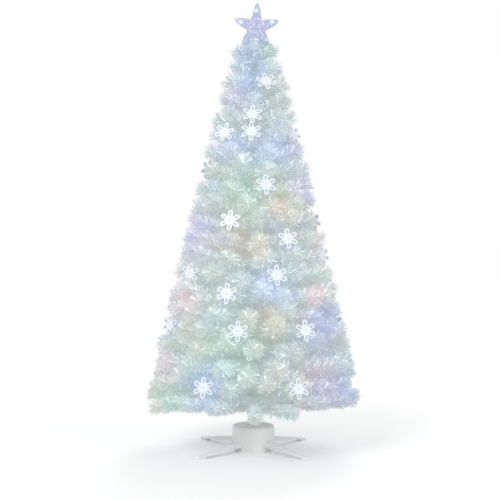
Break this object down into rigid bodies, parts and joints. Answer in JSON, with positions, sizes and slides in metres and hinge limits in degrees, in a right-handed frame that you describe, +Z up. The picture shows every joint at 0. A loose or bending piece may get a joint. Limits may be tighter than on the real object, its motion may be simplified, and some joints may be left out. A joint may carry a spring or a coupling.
{
  "type": "artificial christmas tree",
  "caption": "White artificial tree of straight needle brushes in rows round a sectional pole, with snowflakes, a star on top and a lit base on fold-out legs.",
  "frame": {"origin": "centre of the base on the floor, under the pole", "axes": "+Z up along the pole, -Y towards the viewer of the picture, power inlet at +Y"},
  "size_m": [0.816, 0.816, 1.8016],
  "materials": {
    "needles": "satin",
    "acrylic": "gloss",
    "glitter": "satin",
    "white_plastic": "satin",
    "grey_plastic": "matte",
    "dark_plastic": "matte",
    "coated_steel": "satin",
    "steel": "satin",
    "ceramic": "matte",
    "lamp_glass": "gloss",
    "tinted_film": "gloss",
    "light_fibre": "gloss",
    "board": "satin"
  },
  "bodies": {
    "base": {"base_housing": "white_plastic", "base_plate": "grey_plastic", "lamp_holder": "ceramic", "lamp": "lamp_glass", "wheel_motor": "dark_plastic", "fan_frame": "dark_plastic", "power_inlet": "dark_plastic", "circuit_board": "board"},
    "colour_wheel": {"colour_wheel": "tinted_film", "motor_shaft": "steel"},
    "fan_rotor": {"fan_rotor": "dark_plastic"},
    "mode_button": {"mode_button": "grey_plastic"},
    "clamp_screw": {"pole_clamp_screw": "grey_plastic"},
    "leg_1": {"leg_1": "white_plastic"},
    "leg_2": {"leg_2": "white_plastic"},
    "leg_3": {"leg_3": "white_plastic"},
    "leg_4": {"leg_4": "white_plastic"},
    "lower_section": {"pole_lower": "coated_steel", "fibre_bundle_lower": "light_fibre", "branches_lower_1": "needles", "branches_lower_2": "needles", "branches_lower_3": "needles", "snowflake_01": "acrylic", "snowflake_02": "acrylic", "snowflake_03": "acrylic", "snowflake_04": "acrylic", "snowflake_05": "acrylic", "snowflake_06": "acrylic", "snowflake_07": "acrylic", "snowflake_21": "acrylic", "snowflake_22": "acrylic"},
    "middle_section": {"pole_middle": "coated_steel", "fibre_bundle_middle": "light_fibre", "branches_middle_1": "needles", "branches_middle_2": "needles", "branches_middle_3": "needles", "snowflake_08": "acrylic", "snowflake_09": "acrylic", "snowflake_10": "acrylic", "snowflake_11": "acrylic", "snowflake_12": "acrylic", "snowflake_13": "acrylic", "snowflake_14": "acrylic", "snowflake_15": "acrylic", "snowflake_23": "acrylic"},
    "upper_section": {"pole_upper": "coated_steel", "fibre_bundle_upper": "light_fibre", "branches_upper_1": "needles", "branches_upper_2": "needles", "branches_upper_3": "needles", "top_sprig": "needles", "snowflake_16": "acrylic", "snowflake_17": "acrylic", "snowflake_18": "acrylic", "snowflake_19": "acrylic", "snowflake_20": "acrylic", "snowflake_24": "acrylic"},
    "star": {"star_front": "glitter", "star_back": "glitter", "star_socket": "acrylic"}
  },
  "joints": [
    {"name": "colour_wheel_turn", "type": "hinge", "parent": "base", "child": "colour_wheel", "pos_m": [0.032, 0, 0.0606], "axis": [0, 0, 1], "continuous": true},
    {"name": "fan_turn", "type": "hinge", "parent": "base", "child": "fan_rotor", "pos_m": [-0.062, 0, 0.0233], "axis": [-1, 0, 0], "continuous": true},
    {"name": "mode_button_press", "type": "slide", "parent": "base", "child": "mode_button", "axis": [0, 0, -1], "range_m": [0, 0.002], "stiffness_N_per_m": 300, "springref_m": -0.001},
    {"name": "clamp_screw_turn", "type": "hinge", "parent": "base", "child": "clamp_screw", "pos_m": [0, 0, 0.131], "axis": [0.3827, -0.9239, 0], "range_deg": [0, 720]},
    {"name": "leg_1_fold", "type": "hinge", "parent": "base", "child": "leg_1", "pos_m": [0.07036, 0.07036, 0.03], "axis": [-0.7071, 0.7071, 0], "range_deg": [0, 85]},
    {"name": "leg_2_fold", "type": "hinge", "parent": "base", "child": "leg_2", "pos_m": [-0.07036, 0.07036, 0.03], "axis": [-0.7071, -0.7071, 0], "range_deg": [0, 85]},
    {"name": "leg_3_fold", "type": "hinge", "parent": "base", "child": "leg_3", "pos_m": [-0.07036, -0.07036, 0.03], "axis": [0.7071, -0.7071, 0], "range_deg": [0, 85]},
    {"name": "leg_4_fold", "type": "hinge", "parent": "base", "child": "leg_4", "pos_m": [0.07036, -0.07036, 0.03], "axis": [0.7071, 0.7071, 0], "range_deg": [0, 85]},
    {"name": "lower_section_lift", "type": "slide", "parent": "base", "child": "lower_section", "axis": [0, 0, 1], "range_m": [0, 0.1]},
    {"name": "middle_section_lift", "type": "slide", "parent": "lower_section", "child": "middle_section", "axis": [0, 0, 1], "range_m": [0, 0.07]},
    {"name": "upper_section_lift", "type": "slide", "parent": "middle_section", "child": "upper_section", "axis": [0, 0, 1], "range_m": [0, 0.07]},
    {"name": "star_lift", "type": "slide", "parent": "upper_section", "child": "star", "axis": [0, 0, 1], "range_m": [0, 0.03]}
  ]
}
